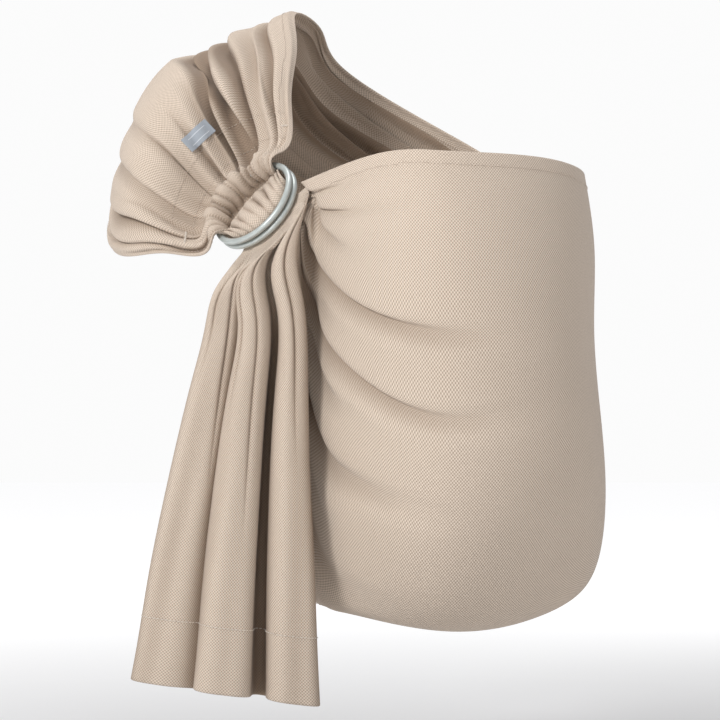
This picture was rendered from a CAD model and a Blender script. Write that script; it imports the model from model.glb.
import math
import bpy
import numpy as np
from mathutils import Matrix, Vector


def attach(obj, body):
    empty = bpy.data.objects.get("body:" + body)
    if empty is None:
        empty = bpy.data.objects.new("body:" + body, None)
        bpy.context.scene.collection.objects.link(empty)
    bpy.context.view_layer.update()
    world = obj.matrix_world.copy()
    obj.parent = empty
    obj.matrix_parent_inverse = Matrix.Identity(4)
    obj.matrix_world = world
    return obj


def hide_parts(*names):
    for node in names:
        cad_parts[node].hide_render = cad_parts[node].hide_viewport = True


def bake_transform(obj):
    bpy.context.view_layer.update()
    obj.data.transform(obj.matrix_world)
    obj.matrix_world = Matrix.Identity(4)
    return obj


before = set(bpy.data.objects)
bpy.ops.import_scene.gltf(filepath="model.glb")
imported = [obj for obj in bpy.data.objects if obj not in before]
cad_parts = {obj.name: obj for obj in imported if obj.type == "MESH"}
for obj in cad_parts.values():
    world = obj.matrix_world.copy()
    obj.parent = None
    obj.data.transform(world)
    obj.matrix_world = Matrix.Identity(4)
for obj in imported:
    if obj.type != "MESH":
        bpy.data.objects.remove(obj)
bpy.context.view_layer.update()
mm = 0.001

# the rings' own plane, as the CAD model has it
ringPair = {
    "bore": 76.0,
    "wire": 5.5,
    "gap": 1.5,
    "centre": (42.5, -125.0, -141.5),
    "rise": 49.0,                           # slope of the level diameter
    "faceUp": 56.0,                         # how far the rings face up and sideways
}
rise = math.radians(ringPair["rise"])
faceUp = math.radians(ringPair["faceUp"])
chord = np.array([math.cos(rise), 0.0, math.sin(rise)])
sideways = np.array([-chord[2], 0.0, chord[0]])
outward = sideways * math.sin(faceUp) - np.array([0.0, 1.0, 0.0]) * math.cos(faceUp)
casingSide = np.cross(outward, chord)
ringCentre = np.array(ringPair["centre"])
ringRadius = (ringPair["bore"] + ringPair["wire"]) / 2
ringLevel = (ringPair["wire"] + ringPair["gap"]) / 2


def ringSpace(x, y, z):
    # point = centre + x along the level diameter + y towards the casing + z outwards
    return ringCentre + x[..., None] * chord + y[..., None] * casingSide + z[..., None] * outward


def ringPolar(angle, radius, level):
    # x = radius sin(angle), y = radius cos(angle), angle in degrees from the casing side
    turn = np.radians(np.asarray(angle, float))
    radius, level = np.asarray(radius, float), np.asarray(level, float)
    return ringSpace(radius * np.sin(turn), radius * np.cos(turn), level + 0 * turn)


def splineWeights(knots, at):
    # natural cubic spline as a matrix: values at `at` = weights @ values at knots
    knots, at = np.asarray(knots, float), np.asarray(at, float)
    n = len(knots)
    h = np.diff(knots)
    left, right = np.eye(n), np.zeros((n, n))
    for i in range(1, n - 1):
        left[i, i - 1:i + 2] = h[i - 1], 2 * (h[i - 1] + h[i]), h[i]
        right[i, i - 1:i + 2] = 6 / h[i - 1], -6 / h[i - 1] - 6 / h[i], 6 / h[i]
    curvature = np.linalg.solve(left, right)
    k = np.clip(np.searchsorted(knots, at) - 1, 0, n - 2)
    a = ((knots[k + 1] - at) / h[k])[:, None]
    b = ((at - knots[k]) / h[k])[:, None]
    square = (h[k] ** 2 / 6)[:, None]
    eye = np.eye(n)
    bend = (a ** 3 - a) * curvature[k] + (b ** 3 - b) * curvature[k + 1]
    return a * eye[k] + b * eye[k + 1] + bend * square


def smooth(low, high, x):
    # 0 below low, 1 above high, 3t^2 - 2t^3 between
    t = np.clip((np.asarray(x, float) - low) / (high - low), 0, 1)
    return t * t * (3 - 2 * t)


def normalsOf(grid):
    # unit cross product of the two grid directions
    along = np.gradient(grid, axis=0)
    across = np.gradient(grid, axis=1)
    cross = np.cross(along, across)
    return cross / np.maximum(np.linalg.norm(cross, axis=2, keepdims=True), 1e-9)


def arcLength(grid, axis):
    # running length along one direction of a grid, from 0
    steps = np.linalg.norm(np.diff(grid, axis=axis), axis=2)
    pad = ((1, 0), (0, 0)) if axis == 0 else ((0, 0), (1, 0))
    return np.cumsum(np.pad(steps, pad), axis=axis)


def meshFromGrid(name, grid, material, uv=None, flip=False, inFold=None):
    # quads over a grid of points (rows, columns, 3) in mm; inFold is 1 at the bottom of a fold
    rows, columns = grid.shape[:2]
    index = np.arange(rows * columns).reshape(rows, columns)
    corners = [index[:-1, :-1], index[1:, :-1], index[1:, 1:], index[:-1, 1:]]
    faces = np.stack(corners[::-1] if flip else corners, axis=-1).reshape(-1, 4)
    uvRows = None if uv is None else uv.reshape(-1, 2)
    piece = meshFromArrays(name, grid.reshape(-1, 3), faces, material, uvRows)
    if inFold is not None:
        layer = piece.data.attributes.new("inFold", "FLOAT", "POINT")
        layer.data.foreach_set("value", inFold.astype(np.float32).ravel())
    return piece


def meshFromArrays(name, points, faces, material, uv=None):
    mesh = bpy.data.meshes.new(name)
    mesh.vertices.add(len(points))
    mesh.vertices.foreach_set("co", (points * mm).astype(np.float32).ravel())
    mesh.loops.add(faces.size)
    mesh.loops.foreach_set("vertex_index", faces.astype(np.int32).ravel())
    mesh.polygons.add(len(faces))
    mesh.polygons.foreach_set("loop_start", np.arange(0, faces.size, faces.shape[1], dtype=np.int32))
    mesh.polygons.foreach_set("use_smooth", np.ones(len(faces), bool))
    if uv is not None:
        layer = mesh.uv_layers.new(name="clothMetres")
        layer.data.foreach_set("uv", (uv * mm)[faces.ravel()].astype(np.float32).ravel())
    mesh.update(calc_edges=True)
    mesh.validate()
    mesh.materials.append(material)
    piece = bpy.data.objects.new(name, mesh)
    bpy.context.collection.objects.link(piece)
    return piece


# shader helpers
class Wire:
    # wraps a socket, so that values can be written as Python expressions
    def __init__(self, tree, socket):
        self.tree = tree
        self.socket = socket

    def math(self, operation, *others):
        return node(self.tree, "ShaderNodeMath", {"operation": operation}, [self, *others])

    def __add__(self, other):
        return self.math("ADD", other)

    def __sub__(self, other):
        return self.math("SUBTRACT", other)

    def __mul__(self, other):
        return self.math("MULTIPLY", other)

    def __truediv__(self, other):
        return self.math("DIVIDE", other)

    def __rsub__(self, other):
        return node(self.tree, "ShaderNodeMath", {"operation": "SUBTRACT"}, [other, self])

    __radd__ = __add__
    __rmul__ = __mul__

    def sine(self):
        return self.math("SINE")

    def size(self):
        return self.math("ABSOLUTE")

    def power(self, other):
        return self.math("POWER", other)

    def clamped(self):
        return node(self.tree, "ShaderNodeClamp", {}, {"Value": self})


def node(tree, kind, settings, sockets, out=0):
    made = tree.nodes.new(kind)
    for key, value in settings.items():
        setattr(made, key, value)
    pairs = sockets.items() if isinstance(sockets, dict) else enumerate(sockets)
    for key, value in pairs:
        if isinstance(value, Wire):
            tree.links.new(value.socket, made.inputs[key])
        else:
            made.inputs[key].default_value = value
    return Wire(tree, made.outputs[out])


def newMaterial(name, uniform):
    material = bpy.data.materials.new(name)
    material.use_nodes = True
    shader = material.node_tree.nodes["Principled BSDF"]
    for key, value in uniform.items():
        shader.inputs[key].default_value = value
    return material, material.node_tree, shader


def mixColours(tree, factor, first, second):
    sockets = {0: factor, 6: first, 7: second}
    return node(tree, "ShaderNodeMix", {"data_type": "RGBA"}, sockets, out=2)


def splitVector(tree, vector):
    made = tree.nodes.new("ShaderNodeSeparateXYZ")
    tree.links.new(vector.socket, made.inputs[0])
    return [Wire(tree, made.outputs[i]) for i in range(3)]


def bumpNormal(tree, height, distance, strength=1.0):
    return node(tree, "ShaderNodeBump", {}, {"Height": height, "Distance": distance, "Strength": strength})


# materials
weave = {
    "repeat": 2.7,                          # mm from one bird's eye to the next
    "cream": (0.75, 0.64, 0.535),
    "taupe": (0.27, 0.20, 0.145),
    "contrast": 0.95,
    "height": 0.00022,                      # metres of relief
    "roughness": 0.86,
    "foldShade": 0.8,                       # how much deeper the colour is at the bottom of a fold
    "foldTint": (0.22, 0.15, 0.10, 1),
}


def clothMaterial(name):
    # bird's-eye weave: cream and taupe threads meet in small diamonds, product of two diagonal waves
    uniform = {"Sheen Weight": 0.12, "Sheen Roughness": 0.5, "Specular IOR Level": 0.2}
    material, tree, shader = newMaterial(name, uniform)
    uv = node(tree, "ShaderNodeUVMap", {"uv_map": "clothMetres"}, {})
    x, y, _ = splitVector(tree, uv)
    turns = 2 * math.pi / (weave["repeat"] * mm)
    weft = (x * turns).sine()
    warp = (y * turns).sine()
    eyes = weft * warp * 0.5 + 0.5
    fine = (x * (turns * 4)).sine() * (y * (turns * 4)).sine() * 0.5 + 0.5
    objectSpace = node(tree, "ShaderNodeTexCoord", {}, {}, out=3)
    slub = node(tree, "ShaderNodeTexNoise", {}, {"Vector": objectSpace, "Scale": 900.0, "Detail": 3.0})
    cloudy = node(tree, "ShaderNodeTexNoise", {}, {"Vector": objectSpace, "Scale": 9.0, "Detail": 3.0})
    uneven = (slub - 0.5) * 0.35
    mask = (eyes * weave["contrast"] + fine * 0.14 + uneven + (cloudy - 0.5) * 0.12 + 0.03).clamped()
    colour = mixColours(tree, mask, (*weave["taupe"], 1), (*weave["cream"], 1))
    inFold = node(tree, "ShaderNodeAttribute", {"attribute_name": "inFold"}, {}, out=2)
    colour = mixColours(tree, inFold * weave["foldShade"], colour, weave["foldTint"])
    tree.links.new(colour.socket, shader.inputs["Base Color"])
    rough = weave["roughness"] + (cloudy - 0.5) * 0.08
    tree.links.new(rough.socket, shader.inputs["Roughness"])
    height = eyes * 0.7 + fine * 0.3 + slub * 0.3
    normal = bumpNormal(tree, height, weave["height"], 0.8)
    tree.links.new(normal.socket, shader.inputs["Normal"])
    return material


def threadMaterial(name, tint, pitch):
    # sewing thread: fine diagonal ply lines round the thread
    material, tree, shader = newMaterial(name, {"Sheen Weight": 0.2, "Specular IOR Level": 0.3})
    place = node(tree, "ShaderNodeTexCoord", {}, {}, out=3)
    x, y, z = splitVector(tree, place)
    ply = ((x + y * 0.7 + z) * (2 * math.pi / (pitch * mm))).sine() * 0.5 + 0.5
    dark = tuple(c * 0.72 for c in tint) + (1,)
    colour = mixColours(tree, ply, dark, (*tint, 1))
    tree.links.new(colour.socket, shader.inputs["Base Color"])
    tree.links.new((0.62 + ply * 0.14).socket, shader.inputs["Roughness"])
    normal = bumpNormal(tree, ply, 0.0001)
    tree.links.new(normal.socket, shader.inputs["Normal"])
    return material


def ringMaterial(name):
    # satin powder-coated aluminium: faint mottling and a very fine grain
    material, tree, shader = newMaterial(name, {"Coat Roughness": 0.25, "Specular IOR Level": 0.5})
    place = node(tree, "ShaderNodeTexCoord", {}, {}, out=3)
    mottle = node(tree, "ShaderNodeTexNoise", {}, {"Vector": place, "Scale": 160.0, "Detail": 4.0})
    grain = node(tree, "ShaderNodeTexNoise", {}, {"Vector": place, "Scale": 2600.0, "Detail": 2.0})
    colour = mixColours(tree, mottle, (0.40, 0.435, 0.42, 1), (0.56, 0.595, 0.575, 1))
    tree.links.new(colour.socket, shader.inputs["Base Color"])
    tree.links.new((0.30 + mottle * 0.14).socket, shader.inputs["Roughness"])
    tree.links.new((mottle * 0.1 + 0.25).socket, shader.inputs["Metallic"])
    normal = bumpNormal(tree, grain, 0.00004, 0.5)
    tree.links.new(normal.socket, shader.inputs["Normal"])
    return material


def labelMaterial(name):
    # damask label: fine ribs across its width, two pale woven bars near the ends
    material, tree, shader = newMaterial(name, {"Sheen Weight": 0.15, "Specular IOR Level": 0.4})
    uv = node(tree, "ShaderNodeUVMap", {"uv_map": "clothMetres"}, {})
    x, y, _ = splitVector(tree, uv)
    ribs = (x * (2 * math.pi / (0.5 * mm))).sine() * 0.5 + 0.5
    picks = (y * (2 * math.pi / (0.35 * mm))).sine() * 0.5 + 0.5
    base = mixColours(tree, ribs * 0.6 + picks * 0.4, (0.27, 0.30, 0.34, 1), (0.40, 0.435, 0.48, 1))
    fromMiddle = (y - 7.2 * mm).size()
    inset = (x - 14.0 * mm).size()
    inBar = (1 - ((fromMiddle - 3.2 * mm).size() * 2400)).clamped()
    bar = inBar * (1 - ((inset - 9.5 * mm) * 2400)).clamped()
    colour = mixColours(tree, bar * 0.8, base, (0.80, 0.82, 0.84, 1))
    tree.links.new(colour.socket, shader.inputs["Base Color"])
    tree.links.new((0.55 + ribs * 0.1).socket, shader.inputs["Roughness"])
    normal = bumpNormal(tree, ribs * 0.5 + picks * 0.5, 0.00008)
    tree.links.new(normal.socket, shader.inputs["Normal"])
    return material


clothFace = clothMaterial("birdsEyeCotton")
threadPale = threadMaterial("paleThread", (0.86, 0.78, 0.69), 0.7)
threadTone = threadMaterial("toneThread", (0.70, 0.59, 0.49), 0.7)
ringFinish = ringMaterial("satinRing")
labelFinish = labelMaterial("wovenLabel")
print("materials made")

# the cloth loop: casing, shoulder, back, side and pouch
loop = {
    "columns": 240,                         # across the cloth
    "hemWidth": 11.0,                       # mm folded under along each rail
    "hemGap": 1.5,                          # mm from the cloth to its folded edge
    # metres, set to what these meshes carry: a real cloth is about 0.66 wide, with hidden tucks left out here
    "flatWidth": 0.42,
    "uvWidth": 470,                         # mm of weave across
}


def spread(points, count=7):
    # a station given by a few points, resampled to as many as the others have
    points = np.array(points, float)
    weights = splineWeights(np.linspace(0, 1, len(points)), np.linspace(0, 1, count))
    return weights @ points


def torso(angles, heights, standOff=0.0):
    # elliptic outline of the wearer: half width 160, half depth 106, angle from straight back
    turn = np.radians(np.array(angles, float))
    x = 130 + (160 + standOff) * np.sin(turn)
    y = (106 + standOff) * np.cos(turn)
    return np.stack([x, y, np.array(heights, float)], axis=1)


rollAngles = np.linspace(79, -92, 7)
rollProfile = [(34.0, -14.0), (31.0, -4.0), (32.5, 8.0), (41.5, 15.0), (52.0, 9.5)]
roll = [ringPolar(rollAngles, radius, level) for radius, level in rollProfile]
ridge = np.array([
    (74, 2, 42), (25, 0, 24), (-22, -2, 5), (-58, -6, -30),
    (-79, -14, -78), (-89, -24, -128), (-92, -36, -174),
], float)
fanOut = np.array([
    (5, -6, 4), (0, -18, 12), (-5, -26, 14), (-11, -34, 9), (-16, -36, -1), (-14, -28, -8), (-8, -14, -9),
], float)
fanLow = roll[-1] * 0.66 + ridge * 0.34 + fanOut * 0.8
fanHigh = roll[-1] * 0.33 + ridge * 0.67 + fanOut
stations = np.array(roll + [
    fanLow,
    fanHigh,
    ridge,
    spread([(96, 36, 35), (50, 46, 18), (-4, 50, -12), (-52, 42, -64), (-84, 14, -142)]),
    torso([-6, -13, -20, -27.5, -34, -43, -58], [8, -20, -47, -73, -97, -119, -136]),
    torso([26, 20, 14, 8, 2, -8, -18], [-50, -80, -111, -140, -168, -206, -238]),
    torso([54, 49, 44, 39, 33, 22, 8], [-88, -128, -166, -208, -250, -318, -378]),
    torso([88, 88, 88, 87, 85, 82, 74], [-116, -175, -235, -297, -358, -412, -462], 6),
    spread([(334, -92, -114), (341, -97, -182), (340, -101, -255), (346, -104, -335), (350, -102, -408),
            (338, -92, -470), (300, -66, -484)]),
    spread([(297, -172, -104), (309, -196, -180), (313, -206, -262), (317, -202, -348), (312, -176, -430),
            (292, -130, -500), (262, -74, -490)]),
    spread([(206, -226, -101), (206, -254, -178), (206, -262, -268), (205, -256, -358), (204, -232, -440),
            (203, -160, -510), (203, -74, -488)]),
    spread([(136, -194, -105), (127, -206, -166), (120, -206, -236), (118, -196, -315), (118, -176, -410),
            (120, -130, -496), (124, -78, -474)]),
    spread([(85, -160, -123), (97, -164, -150), (95, -160, -200), (91, -153, -260), (87, -142, -346),
            (81, -126, -432), (76, -102, -462)]),
    ringPolar(180 - np.linspace(54, -50, 7), 45.0, -13.0),
    ringPolar(180 - np.linspace(52, -50, 7), 38.0, -13.0),
    ringPolar(180 - np.linspace(48, -48, 7), 30.0, -6.0),
])
lastStation = len(stations) - 1
pouchStation = 13                           # first station of the pouch, on the wearer's left

# pleats: share across, depth, half width, overlap, side that lies on top, first and last station
shoulderPleats = [
    (0.075, 10, 4, 4.5, 1, 3.6, 11.6), (0.140, 5, 5, 2.5, 1, 3.6, 8.4), (0.205, 20, 5, 8, 1, 3.3, 11.6),
    (0.270, 20, 5, 8, 1, 3.3, 11.2), (0.335, 20, 5, 8, 1, 3.3, 11.0), (0.395, 9, 4.5, 5, 1, 3.6, 6.5),
    (0.455, 8, 4.5, 5, 1, 3.6, 5.9), (0.515, 8, 4.5, 5, 1, 3.6, 5.7), (0.575, 4, 6, 4, 1, 3.6, 8.6),
    (0.635, 8, 4.5, 5, 1, 3.6, 5.6), (0.700, 6, 7, 7, 1, 3.6, 9.2), (0.765, 7, 4.5, 5, 1, 3.6, 5.8),
    (0.830, 12, 5.5, 7, 1, 3.6, 9.6), (0.925, 11, 4.5, 6, 1, 3.6, 9.6),
    (0.075, 5, 5, 11, 1, 8.6, 11.6), (0.140, 6, 5, 10, 1, 8.6, 11.4), (0.460, 8, 6, 11, 1, 8.6, 11.6),
    (0.590, 8, 6, 11, 1, 8.8, 11.4), (0.700, 8, 6, 11, 1, 9.4, 11.2),
]
pouchPleats = [
    (0.06, 4, 5, 5, 1, 16.0, 19.6), (0.12, 5, 6, 7, 1, 15.4, 19.6), (0.20, 6, 6, 8, 1, 16.0, 20.0),
    (0.305, 8, 8, 10, 1, 14.6, 20.0), (0.36, 5, 6, 7, 1, 16.0, 20.0), (0.425, 8, 8, 10, 1, 14.6, 20.0),
    (0.51, 6, 8, 9, 1, 15.8, 20.0), (0.60, 8, 8, 10, 1, 15.2, 20.0), (0.69, 6, 8, 8, 1, 16.2, 20.0),
    (0.765, 7, 8, 9, 1, 15.6, 20.0), (0.88, 6, 8, 8, 1, 16.2, 20.0),
]
puckers = {"count": 15, "depth": 4.9, "half": 2.3, "reach": 5.6}


def pleated(base, at, across):
    # a knife pleat, with u the distance from its valley over its half width: the cloth slides by
    # -overlap u exp((1 - u^2) / 2), so that it doubles back on itself, and sinks by depth on the lower side
    normal = normalsOf(base)
    width = arcLength(base, 1)[:, -1:]
    sideStep = np.gradient(base, axis=1)
    sideStep = sideStep / np.maximum(np.linalg.norm(sideStep, axis=2, keepdims=True), 1e-9)
    lift = np.zeros(base.shape[:2])
    slide = np.zeros(base.shape[:2])
    t = at[:, None]
    for order, (share, depth, half, overlap, onTop, first, last) in enumerate(shoulderPleats + pouchPleats):
        grow = 0.6 if order < len(shoulderPleats) else 1.9
        wander = 0.007 * np.sin(1.3 * t + 2.1 * order) + 0.004 * np.sin(3.1 * t + order)
        scale = np.clip(width / 240, 0.3, 1.3)
        u = (across[None, :] - share - wander) * width * onTop / (half * scale)
        strength = smooth(first - 0.6, first + grow, t) * (1 - smooth(last - 2.2, last + 0.3, t))
        strength = strength * (1 + 0.22 * np.sin(1.9 * t + 3.1 * order))
        if order < len(shoulderPleats):
            strength = strength * (1 - 0.45 * np.exp(-((t - 7.4) / 1.0) ** 2))
        near = smooth(0, 0.035, across)[None, :] * smooth(1, 0.965, across)[None, :]
        slide -= near * scale * onTop * overlap * strength ** 1.5 * u * np.exp((1 - u ** 2) / 2)
        lift -= scale * depth * strength * smooth(-1.4, 0.4, u) * (1 - smooth(0.9, 2.8, u))
    for order in range(puckers["count"]):
        share = (order + 0.5 + 0.28 * math.sin(order * 2.4)) / puckers["count"]
        x = (across[None, :] - share - 0.006 * np.sin(2.2 * t + order)) * width
        reach = puckers["reach"] + 1.1 * math.sin(order * 1.9)
        strength = smooth(-0.2, 0.6, t) * (1 - smooth(reach - 1.6, reach + 0.4, t))
        depth = puckers["depth"] + 1.5 * math.sin(order * 5.1)
        lift -= depth * strength * np.exp(-np.abs(x) / puckers["half"])
    fullness = 5.0 * (1 - smooth(8.0, 11.5, t)) * smooth(1.5, 4.0, t)
    soft = 1.2 * np.sin(9 * across[None, :] + 1.1 * t) * np.sin(1.4 * t + 4 * across[None, :])
    soft = soft * smooth(4, 6, t) * (1 - 0.5 * smooth(12, 13.5, t))
    edge = smooth(0, 0.02, across)[None, :] * smooth(1, 0.98, across)[None, :]
    inFold = np.clip((-lift - 2.0) / 8.0, 0, 1) * edge
    lift = (lift + fullness) * (0.25 + 0.75 * edge) + soft
    return base + normal * lift[..., None] + sideStep * slide[..., None], inFold


def loopGrid():
    # stations joined by natural cubic splines along and across, then pleated
    # rows lie closer together where the cloth turns round the rings
    middle = stations[:, 3]
    gaps = np.linalg.norm(np.diff(middle, axis=0), axis=1)
    knots = np.concatenate([[0], np.cumsum(np.maximum(gaps, 9.0))])
    pitchAt = [0, 5, 7, 12, 16, 18, lastStation]
    pitch = np.interp(np.arange(lastStation + 1), pitchAt, [2.0, 2.6, 4.2, 5.6, 5.6, 2.9, 2.2])
    dense = np.linspace(0, knots[-1], 4000)
    need = np.cumsum(1 / np.interp(dense, knots, pitch))
    rows = int(need[-1])
    along = np.interp(np.linspace(need[0], need[-1], rows), need, dense)
    stationAt = np.interp(along, knots, np.arange(lastStation + 1))
    across = np.linspace(0, 1, loop["columns"])
    weightsAlong = splineWeights(knots, along)
    weightsAcross = splineWeights(np.linspace(0, 1, 7), across)
    base = np.einsum("ui,ijk,vj->uvk", weightsAlong, stations, weightsAcross)
    return *pleated(base, stationAt, across), stationAt


def withHems(grid, inner, gap):
    # each edge turns under through half a circle and lies flat below the cloth
    normal = normalsOf(grid)
    layers = []
    for edge, step in ((0, 1), (-1, -1)):
        outwards = grid[:, edge] - grid[:, edge + 2 * step]
        outwards = outwards / np.linalg.norm(outwards, axis=1, keepdims=True)
        turn = [grid[:, edge] + gap / 2 * (outwards * math.sin(a) - normal[:, edge] * (1 - math.cos(a)))
                for a in (2.4, 1.6, 0.8)]
        columns = [inner[edge] - k if edge == 0 else k - inner[edge] - 1 for k in range(inner[edge])]
        under = [grid[:, k] - gap * normal[:, k] for k in columns]
        layers.append(under + turn)
    top, bottom = layers
    return np.concatenate([np.stack(top, 1), grid, np.stack(bottom[::-1], 1)], axis=1)


def clothUv(grid, width, level=0, even=False):
    # across: the column's share of the width, as in flat cloth
    # along: length on the cloth from the row `level`, each column's own or the mean of all
    across = np.broadcast_to(np.linspace(-0.5, 0.5, grid.shape[1]) * width, grid.shape[:2])
    along = arcLength(grid, 0)
    if even:
        along = 0 * along + along.mean(axis=1, keepdims=True)
    return np.stack([across, along - along[level:level + 1]], axis=-1)


fullGrid, foldDepth, stationAt = loopGrid()
edgeColumns = 30
edgeLengths = [arcLength(fullGrid[:, ::side][:, :edgeColumns], 1)[:, -1].mean() for side in (1, -1)]
widthEdge = [length / (edgeColumns - 1) for length in edgeLengths]
hemColumns = [max(3, int(round(loop["hemWidth"] / step))) for step in widthEdge]
hemmed = withHems(fullGrid, hemColumns, loop["hemGap"])
hemDepth = np.pad(foldDepth, ((0, 0), (hemColumns[0] + 3, hemColumns[1] + 3)))


def rowAt(station):
    return int(np.argmin(np.abs(stationAt - station)))


# three pieces of one cloth, cut where the pleats have died away, so that no mesh is too large
cuts = [0, rowAt(9.5), rowAt(pouchStation), len(stationAt) - 1]
clothNames = ["shoulderCloth", "backCloth", "pouchCloth"]
truest = [rowAt(station) for station in (6.3, 11.0, 14.8)]      # rows where the weave lies straight
cadPanels = {
    "shoulderCloth": ["front_shoulder", "back_shoulder", "ring_casing"],
    "backCloth": ["back_panel", "side_panel"],
    "pouchCloth": ["pouch_outer", "pouch_middle", "pouch_ring_side", "ring_gather"],
}
for name, first, last, level in zip(clothNames, cuts[:-1], cuts[1:], truest):
    rows = slice(first, last + 1)
    uv = clothUv(hemmed[rows], loop["uvWidth"], level - first)
    piece = meshFromGrid(name, hemmed[rows], clothFace, uv, inFold=hemDepth[rows])
    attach(piece, "sling_loop")
    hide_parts(*cadPanels[name])
print("cloth loop made")

# the rings
def ringPiece(name, level, body, cadNode):
    # torus: centre line of radius R, bar of radius r
    around = np.linspace(0, 360, 289)[:-1]
    bar = np.linspace(0, 2 * np.pi, 37)[:-1]
    radius = ringRadius + ringPair["wire"] / 2 * np.cos(bar)[None, :]
    height = level + ringPair["wire"] / 2 * np.sin(bar)[None, :]
    grid = ringPolar(around[:, None] + 0 * radius, radius + 0 * around[:, None], height + 0 * around[:, None])
    grid = np.concatenate([grid, grid[:1]], axis=0)
    rows, columns = grid.shape[:2]
    index = np.arange((rows - 1) * columns).reshape(rows - 1, columns)
    index = np.concatenate([index, index[:1]], axis=0)
    index = np.concatenate([index, index[:, :1]], axis=1)
    faces = np.stack([index[:-1, :-1], index[:-1, 1:], index[1:, 1:], index[1:, :-1]], axis=-1).reshape(-1, 4)
    piece = meshFromArrays(name, grid[:-1].reshape(-1, 3), faces, ringFinish)
    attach(piece, body)
    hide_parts(cadNode)
    return piece


ringPiece("upperRing", ringLevel, "upper_ring", "upper_ring")
ringPiece("lowerRing", -ringLevel, "lower_ring", "lower_ring")
print("rings made")

# the fold: bunched cloth turned over the upper ring
fold = {
    "rows": 150,
    "columns": 220,
    # y on the middle, bow, x reach, opening angle, level, from the casing side to the free rim
    "profile": [
        (37, -36, 36, 76, -18), (33, -33, 35.5, 79, -11.5), (25, -23, 37, 80, -5), (13, -9, 37.5, 80, 1),
        (0, 4, 37.5, 80, 5.5), (-13, 19, 37, 77, 8.8), (-25, 30, 36.5, 72, 10.0), (-33, 34.5, 36.5, 68, 8.6),
        (-36.0, 36.6, 36.6, 66, 5.2), (-36.8, 37, 37, 65, 1.5), (-36.9, 37, 37, 65, -3),
        (-36.2, 36.6, 36.6, 65, -9),
    ],
    "flat": (0.1, 0.1),                     # metres, set to what this mesh carries
    "uvWidth": 110,
}


def foldGrid():
    # x = reach sin(a), y = middle + bow (1 - cos a), z = level, a from minus to plus the opening angle
    profile = np.array(fold["profile"], float)
    knots = np.concatenate([[0], np.cumsum(np.hypot(np.diff(profile[:, 0]), np.diff(profile[:, 4])))])
    at = np.linspace(0, knots[-1], fold["rows"])
    middle, bow, reach, opening, level = (splineWeights(knots, at) @ profile).T
    side = np.linspace(-1, 1, fold["columns"])
    angle = np.radians(opening)[:, None] * side[None, :]
    x = reach[:, None] * np.sin(angle)
    y = middle[:, None] + bow[:, None] * (1 - np.cos(angle))
    share = at / knots[-1]
    crown = -3.5 * side[None, :] ** 4 * smooth(0.1, 0.4, share)[:, None]
    z = level[:, None] + crown
    base = ringSpace(x, y, z)
    # creases run from the casing side to the free rim; the first stretch is the plain hem band
    past = smooth(0.27, 0.36, share)[:, None]
    overBar = 1 - 0.6 * smooth(0.62, 0.80, share)[:, None]
    lift = -1.6 * np.exp(-((share[:, None] - 0.285) / 0.012) ** 2)
    places = [-0.82, -0.62, -0.38, -0.16, 0.05, 0.27, 0.46, 0.68, 0.86]
    for order, place in enumerate(places):
        drift = 0.10 * math.sin(2.3 * order) * (share[:, None] - 0.5)
        wander = side[None, :] - place - drift
        depth = 4.2 + 1.5 * math.sin(1.7 * order)
        lift = lift - depth * past * overBar * np.exp(-np.abs(wander * reach[:, None] * 1.2) / 1.9)
    inCrease = np.clip(-lift / 5.5, 0, 1)
    lift = lift + 1.9 * past * overBar + 0.5 * np.sin(7 * side[None, :] + 5 * share[:, None]) * past
    normal = -normalsOf(base)
    if (normal[fold["rows"] // 2, fold["columns"] // 2] @ outward) < 0:
        normal = -normal
    return base + normal * lift[..., None], inCrease


foldSurface, foldCrease = foldGrid()
middleNormal = normalsOf(foldSurface)[fold["rows"] // 2, fold["columns"] // 2]
ringFold = meshFromGrid("ringFold", foldSurface, clothFace, clothUv(foldSurface, fold["uvWidth"], even=True),
                        flip=(middleNormal @ outward) < 0, inFold=foldCrease)
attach(ringFold, "upper_ring")
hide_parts("ring_fold")
foldWide = arcLength(foldSurface, 1)[:, -1].mean() * mm
foldLong = arcLength(foldSurface, 0)[-1].mean() * mm
print("fold width", round(foldWide, 3), "length", round(foldLong, 3))
print("ring fold made")

# the tail
tail = {
    "rows": 210,
    "columns": 420,
    "flat": (0.36, 0.43),                   # metres, the width set to what this mesh carries, not the real 0.66
    "uvWidth": 320,
    # outline below the rings: height, arm side and pouch side, mm
    "outline": [
        (-200, 10, 82), (-240, 1, 86), (-295, -10, 90), (-395, -33, 92),
        (-485, -50, 95), (-530, -57, 97), (-563, -63, 99),
    ],
    "depth": -174.0,
    # narrow creases below the rings: share across, depth, half width, share of the length where they end
    "creases": [(0.09, 2.4, 2.6, 0.45), (0.19, 4.0, 2.6, 0.62), (0.47, 4.0, 2.6, 0.5),
                (0.55, 3.4, 2.4, 0.72), (0.86, 4.0, 2.6, 0.55), (0.93, 2.6, 2.2, 0.8)],
    "endSlope": 23.0,
}
# one cross-section of the folds: share of the width and depth in mm, from the arm side to the pouch side
foldLine = np.array([
    (0.045, 14), (0.0, 5), (0.025, -5), (0.14, -9), (0.27, -4), (0.38, 8), (0.46, 17), (0.42, 23), (0.35, 20),
    (0.325, 7), (0.335, -8), (0.40, -17), (0.51, -16), (0.60, -9), (0.645, 5), (0.67, 23), (0.70, 23), (0.712, 7),
    (0.745, -5), (0.81, -11), (0.90, -9), (0.98, -2), (1.0, 7), (0.97, 15), (0.90, 17),
])


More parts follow.
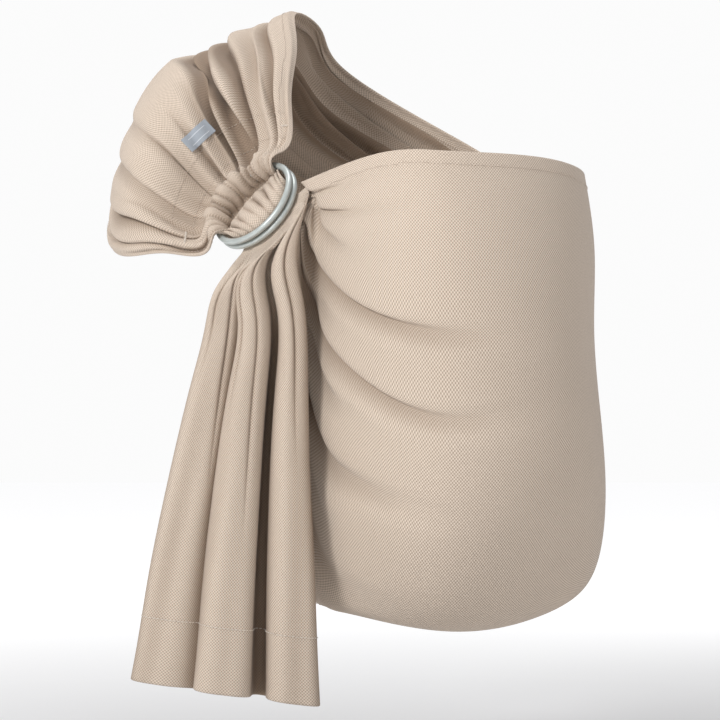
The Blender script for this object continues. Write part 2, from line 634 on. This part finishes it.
def tailGrid():
    # each row is the fold line stretched to the outline's width
    # the top rows gather behind the lower ring's rim
    across = np.linspace(0, 1, tail["columns"])
    steps = np.linalg.norm(np.diff(foldLine * (170, 1), axis=0), axis=1)
    knots = np.concatenate([[0], np.cumsum(steps)]) / steps.sum()
    section = splineWeights(knots, across) @ foldLine
    outline = np.array(tail["outline"], float)
    rim = ringPolar(180 - np.linspace(-62, 50, tail["columns"]), 43.0, -8.5)
    tuck = ringPolar(180 - np.linspace(-58, 46, tail["columns"]), 34.0, -5.0)
    below = ringPolar(180 - np.linspace(-64, 52, tail["columns"]), 50.0, -8.0)
    heights = outline[:, 0]
    rows = [tuck, rim, below]
    for height, left, right in outline:
        x = left + (right - left) * section[:, 0]
        grown = smooth(-190, -330, height) * 0.75 + 0.25
        y = tail["depth"] + section[:, 1] * (0.35 + 0.65 * grown) + 0 * x
        slope = (0.5 - section[:, 0]) * tail["endSlope"] * (heights[0] - height) / (heights[0] - heights[-1])
        lifted = (section[:, 0] - 0.35) * 46 * smooth(-290, -200, height)
        rows.append(np.stack([x, y, height + slope + lifted], axis=1))
    rows = np.array(rows)
    gaps = np.linalg.norm(np.diff(rows.mean(axis=1), axis=0), axis=1)
    rowKnots = np.concatenate([[0], np.cumsum(gaps)])
    at = np.linspace(0, rowKnots[-1], tail["rows"])
    base = np.einsum("ri,ijk->rjk", splineWeights(rowKnots, at), rows)
    share = at / rowKnots[-1]
    down = share[:, None]
    normal = normalsOf(base)
    v = across[None, :]
    gather = 1 - smooth(0.06, 0.36, down)
    lift = 0.9 * gather * np.sin(2 * np.pi * (5 * v + 0.3 * np.sin(9 * v))) * smooth(0.0, 0.05, down)
    lift += 1.0 * np.sin(2 * np.pi * (5.3 * v) + 2.2 * down) * smooth(0.15, 0.6, down) * (1 - 0.5 * down)
    lift += 0.7 * np.sin(2 * np.pi * (9.1 * v) + 5.0 * down + 1.0) * smooth(0.3, 0.8, down)
    for place, depth, half, reach in tail["creases"]:
        x = (v - place - 0.012 * np.sin(5 * down + 20 * place)) * 330
        strength = smooth(0.02, 0.07, down) * (1 - smooth(reach - 0.3, reach, down))
        lift -= depth * np.exp(-np.abs(x) / half) * strength
    inGroove = smooth(-7, 8, rows[4:, :, 1].mean(axis=0) - tail["depth"])[None, :] * smooth(0.1, 0.3, down)
    return base + normal * lift[..., None], np.clip(inGroove + np.clip(-lift / 5, 0, 1), 0, 1)


tailSurface, tailFold = tailGrid()
frontFacing = normalsOf(tailSurface)[tail["rows"] // 2, tail["columns"] // 8]
endGap = 1.5
tailNormal = normalsOf(tailSurface) * (1 if frontFacing[1] < 0 else -1)
foldedRows = [tailSurface[-1 - k] - endGap * tailNormal[-1 - k] for k in range(6)]
turnRow = tailSurface[-1] + np.array([0, 0, -endGap / 2]) - tailNormal[-1] * endGap / 2
tailHemmed = np.concatenate([tailSurface, turnRow[None], np.array(foldedRows)], axis=0)
tailPiece = meshFromGrid("tailCloth", tailHemmed, clothFace, clothUv(tailHemmed, tail["uvWidth"], 120),
                       flip=frontFacing[1] > 0, inFold=np.pad(tailFold, ((0, 7), (0, 0)), mode="edge"))
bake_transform(tailPiece)
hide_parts("tail")
tailWide = arcLength(tailHemmed, 1)[:, -1].mean() * mm
tailLong = arcLength(tailHemmed, 0)[-1].mean() * mm
print("tail width", round(tailWide, 3), "length", round(tailLong, 3))
print("tail made")

# label, bartacks and stitches, laid on the cloth
frontRows = (stationAt > 2.5) & (stationAt < 8.2)
frontPoints = fullGrid[frontRows].reshape(-1, 3)
frontNormals = normalsOf(fullGrid)[frontRows].reshape(-1, 3)
seen = frontNormals[:, 1] < 0.05
frontPoints, frontNormals = frontPoints[seen], frontNormals[seen]


def onCloth(x, z, near=10.0):
    # the cloth seen from in front at (x, z): weights fall off as exp(-distance^2 / near)
    # and as exp(-y / 6), so that its front layer counts most
    shape = x.shape
    gap = (x.reshape(-1, 1) - frontPoints[None, :, 0]) ** 2 + (z.reshape(-1, 1) - frontPoints[None, :, 2]) ** 2
    behind = frontPoints[None, :, 1] / 6.0 - frontPoints[:, 1].min() / 6.0
    weight = np.exp(-gap / near - behind) + 1e-30
    weight = weight / weight.sum(axis=1, keepdims=True)
    place = np.stack([x.ravel(), weight @ frontPoints[:, 1], z.ravel()], axis=1)
    normal = weight @ frontNormals
    normal = normal / np.linalg.norm(normal, axis=1, keepdims=True)
    return place.reshape(*shape, 3), normal.reshape(*shape, 3)


label = {"centre": (-10.6, -77.0), "size": (28.0, 14.5), "rise": 44.0, "lift": 1.6, "thick": 0.7, "corner": 1.0}


def labelGrid():
    # a rectangle with small round corners, laid on the cloth, with its edge turned down to it
    wide, tall = label["size"]
    u = np.concatenate([[-0.5, -0.5], np.linspace(-0.5, 0.5, 45), [0.5, 0.5]])
    v = np.concatenate([[-0.5, -0.5], np.linspace(-0.5, 0.5, 25), [0.5, 0.5]])
    down = np.ones((len(v), len(u)))
    down[:2], down[-2:], down[:, :2], down[:, -2:] = 0, 0, 0, 0
    down[1, 1:-1], down[-2, 1:-1], down[1:-1, 1], down[1:-1, -2] = 0.35, 0.35, 0.35, 0.35
    a, b = np.meshgrid(u * wide, v * tall)
    rise = math.radians(label["rise"])
    x = label["centre"][0] + a * math.cos(rise) - b * math.sin(rise)
    z = label["centre"][1] + a * math.sin(rise) + b * math.cos(rise)
    place, normal = onCloth(x, z, 22.0)
    lift = label["lift"] - label["thick"] * (1 - down)
    return place + normal * lift[..., None], np.stack([a + wide / 2, b + tall / 2], axis=-1)


labelPoints, labelUv = labelGrid()
labelNormal = normalsOf(labelPoints)[14, 24]
brandLabel = meshFromGrid("brandLabel", labelPoints, labelFinish, labelUv, flip=labelNormal[1] > 0)
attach(brandLabel, "sling_loop")
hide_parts("brand_label")


def stitchPiece(name, places, along, normals, length, thick, finish, replaced, body="sling_loop"):
    # each stitch is a spindle: radius thick / 2 times sin of its share, arched off the cloth, six-sided
    share = np.linspace(0, 1, 6)
    round6 = np.linspace(0, 2 * np.pi, 7)[:-1]
    side = np.cross(normals, along)
    radius = thick / 2 * np.sqrt(np.sin(np.pi * np.clip(share, 0.03, 0.97)))
    arch = thick * 0.45 * np.sin(np.pi * share) - thick * 0.1
    centre = (places[:, None] + along[:, None] * ((share - 0.5) * length)[None, :, None]
              + normals[:, None] * arch[None, :, None])
    ring = (side[:, None, None] * np.cos(round6)[None, None, :, None]
            + normals[:, None, None] * np.sin(round6)[None, None, :, None])
    points = centre[:, :, None] + ring * radius[None, :, None, None]
    count = len(places)
    index = np.arange(count * 36).reshape(count, 6, 6)
    turned = np.roll(index, -1, axis=2)
    walls = np.stack([index[:, :-1], index[:, 1:], turned[:, 1:], turned[:, :-1]], axis=-1).reshape(-1, 4)
    caps = [np.stack([index[:, 0, a], index[:, 0, b], index[:, 0, c], index[:, 0, d]], axis=-1)
            for a, b, c, d in ((0, 1, 2, 3), (0, 3, 4, 5))]
    caps += [np.stack([index[:, 5, a], index[:, 5, b], index[:, 5, c], index[:, 5, d]], axis=-1)
             for a, b, c, d in ((3, 2, 1, 0), (5, 4, 3, 0))]
    piece = meshFromArrays(name, points.reshape(-1, 3), np.concatenate([walls, *caps]), finish)
    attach(piece, body)
    if replaced:
        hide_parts(*replaced)
    return piece


stitches = {"pitch": 3.2, "length": 2.5, "thick": 0.6, "inset": 11.5, "casingAt": (4.35, 4.75), "proud": 0.25}


def lineStitches(line, normals, pitch):
    # places at an even pitch along a line of points, with the line's direction and the cloth's normal there
    length = np.concatenate([[0], np.cumsum(np.linalg.norm(np.diff(line, axis=0), axis=1))])
    at = np.arange(pitch, length[-1] - pitch, pitch)
    places = np.stack([np.interp(at, length, line[:, k]) for k in range(3)], axis=1)
    normal = np.stack([np.interp(at, length, normals[:, k]) for k in range(3)], axis=1)
    ahead = np.stack([np.interp(at + 0.5, length, line[:, k]) for k in range(3)], axis=1)
    along = ahead - places
    along = along / np.linalg.norm(along, axis=1, keepdims=True)
    normal = normal - (normal * along).sum(axis=1, keepdims=True) * along
    normal = normal / np.linalg.norm(normal, axis=1, keepdims=True)
    return places, along, normal


gridNormals = normalsOf(fullGrid)


def hemLine(edge):
    # the column that lies stitch inset from the edge, row by row, on the cloth's outer face
    fromEdge = arcLength(fullGrid if edge == 0 else fullGrid[:, ::-1], 1)
    column = (fromEdge < stitches["inset"]).sum(axis=1)
    column = np.round(np.convolve(np.pad(column, 12, mode="edge"), np.ones(25) / 25, mode="valid")).astype(int)
    column = column if edge == 0 else fullGrid.shape[1] - 1 - column
    rows = np.arange(len(fullGrid))
    line = fullGrid[rows, column] + gridNormals[rows, column] * stitches["proud"]
    return line[4:-10], gridNormals[rows, column][4:-10]


hemParts = [lineStitches(*hemLine(edge), stitches["pitch"]) for edge in (0, -1)]
hemPlaces, hemAlong, hemNormals = [np.concatenate([part[k] for part in hemParts]) for k in range(3)]
stitchPiece("hemStitches", hemPlaces, hemAlong, hemNormals, stitches["length"], stitches["thick"],
            threadTone, [])
for row, station in enumerate(stitches["casingAt"]):
    at = rowAt(station)
    line = fullGrid[at, 6:-6] + gridNormals[at, 6:-6] * stitches["proud"]
    places, along, normal = lineStitches(line, gridNormals[at, 6:-6], 4.0)
    stitchPiece("casingStitches" + str(row + 1), places, along, normal, 3.0, 0.55, threadTone,
                ["casing_stitching_" + str(row + 1)])

bartack = {"neck": (67.0, -69.5, 5.0, 0.0), "arm": (-20.5, -171.0, 13.0, 86.0), "threads": 9, "thick": 0.55}


def bartackPiece(name, cadNode, setting):
    # short parallel threads side by side, laid across a line on the cloth
    x, z, length, turn = setting
    turn = math.radians(turn)
    share = np.linspace(-0.5, 0.5, max(4, int(length / 0.9)))
    place, normal = onCloth(x + share * length * math.cos(turn), z + share * length * math.sin(turn), 14.0)
    along = np.gradient(place, axis=0)
    along = along / np.linalg.norm(along, axis=1, keepdims=True)
    across = np.cross(normal, along)
    lean = across * 0.93 + along * 0.36
    stitchPiece(name, place + normal * 0.5, lean, normal, 2.4, bartack["thick"] * 1.7, threadPale, [cadNode])


bartackPiece("neckBartack", "bartack_neck", bartack["neck"])
bartackPiece("armBartack", "bartack_arm", bartack["arm"])

tailSeam = {"fromEnd": 58.0, "pitch": 3.6, "proud": 0.3}
rowLength = arcLength(tailSurface, 0)[-1].mean() / tail["rows"]
seamRow = tail["rows"] - 1 - int(tailSeam["fromEnd"] / rowLength)
seamNormals = tailNormal[seamRow, 3:-3]
seamLine = tailSurface[seamRow, 3:-3] + seamNormals * tailSeam["proud"]
seamParts = lineStitches(seamLine, seamNormals, tailSeam["pitch"])
stitchPiece("tailStitches", *seamParts, 2.8, 0.8, threadPale, [], "tail")
print("label and stitches made")

# view, light and floor
lens = {"place": (0.134, -2.520, -0.277), "focal": 136.4, "sensor": 36.0}
cameraData = bpy.data.cameras.new("frontCamera")
cameraData.lens = lens["focal"]
cameraData.sensor_width = lens["sensor"]
cameraData.dof.use_dof = False
camera = bpy.data.objects.new("frontCamera", cameraData)
camera.location = lens["place"]
camera.rotation_euler = (math.pi / 2, 0, 0)
bpy.context.collection.objects.link(camera)
bpy.context.scene.camera = camera

stage = {
    "floor": -0.66,
    "half": 6.0,                            # metres from the middle to an edge
    "tint": (0.80, 0.80, 0.80, 1),
    "glow": (0.62, 0.62, 0.62, 1),          # lets the floor's far part meet the pale room
    "glowFrom": 0.4,
    "glowFull": 1.8,
}
plainFloor = {"Roughness": 0.9, "Base Color": stage["tint"], "Emission Strength": 1.0}
floorMaterial, floorTree, floorShader = newMaterial("paleFloor", plainFloor)
floorPlace = splitVector(floorTree, node(floorTree, "ShaderNodeTexCoord", {}, {}, out=3))
fromMiddle = ((floorPlace[0] - 0.12).power(2.0) + floorPlace[1].power(2.0)).power(0.5)
glow = ((fromMiddle - stage["glowFrom"]) / (stage["glowFull"] - stage["glowFrom"])).clamped()
glowColour = mixColours(floorTree, glow, (0, 0, 0, 1), stage["glow"])
floorTree.links.new(glowColour.socket, floorShader.inputs["Emission Color"])
floorMesh = bpy.data.meshes.new("floor")
half, level = stage["half"], stage["floor"]
floorCorners = [(-half, -half, level), (half, -half, level), (half, half, level), (-half, half, level)]
floorMesh.from_pydata(floorCorners, [], [(0, 1, 2, 3)])
floorMesh.materials.append(floorMaterial)
floor = bpy.data.objects.new("floor", floorMesh)
bpy.context.collection.objects.link(floor)

world = bpy.data.worlds.new("paleRoom")
bpy.context.scene.world = world
world.use_nodes = True
room = {"seen": (0.97, 0.97, 0.97, 1), "light": (0.42, 0.42, 0.43, 1)}
toCamera = node(world.node_tree, "ShaderNodeLightPath", {}, {})
roomColour = mixColours(world.node_tree, toCamera, room["light"], room["seen"])
world.node_tree.links.new(roomColour.socket, world.node_tree.nodes["Background"].inputs["Color"])


def areaLight(name, place, aim, size, power, tint=(1, 1, 1)):
    data = bpy.data.lights.new(name, "AREA")
    data.shape = "DISK"
    data.size = size
    data.energy = power
    data.color = tint
    lamp = bpy.data.objects.new(name, data)
    lamp.location = place
    lamp.rotation_euler = (Vector(aim) - Vector(place)).to_track_quat("-Z", "Y").to_euler()
    bpy.context.collection.objects.link(lamp)
    return lamp


middle = (0.12, 0.0, -0.28)
areaLight("keyLight", (-1.2, -1.9, 0.9), middle, 0.7, 38)
areaLight("fillLight", (1.6, -1.9, 0.9), middle, 1.2, 5)
areaLight("topLight", (0.0, 0.3, 2.0), middle, 0.9, 20)
bpy.context.scene.view_settings.view_transform = "Standard"
print("view and light made")
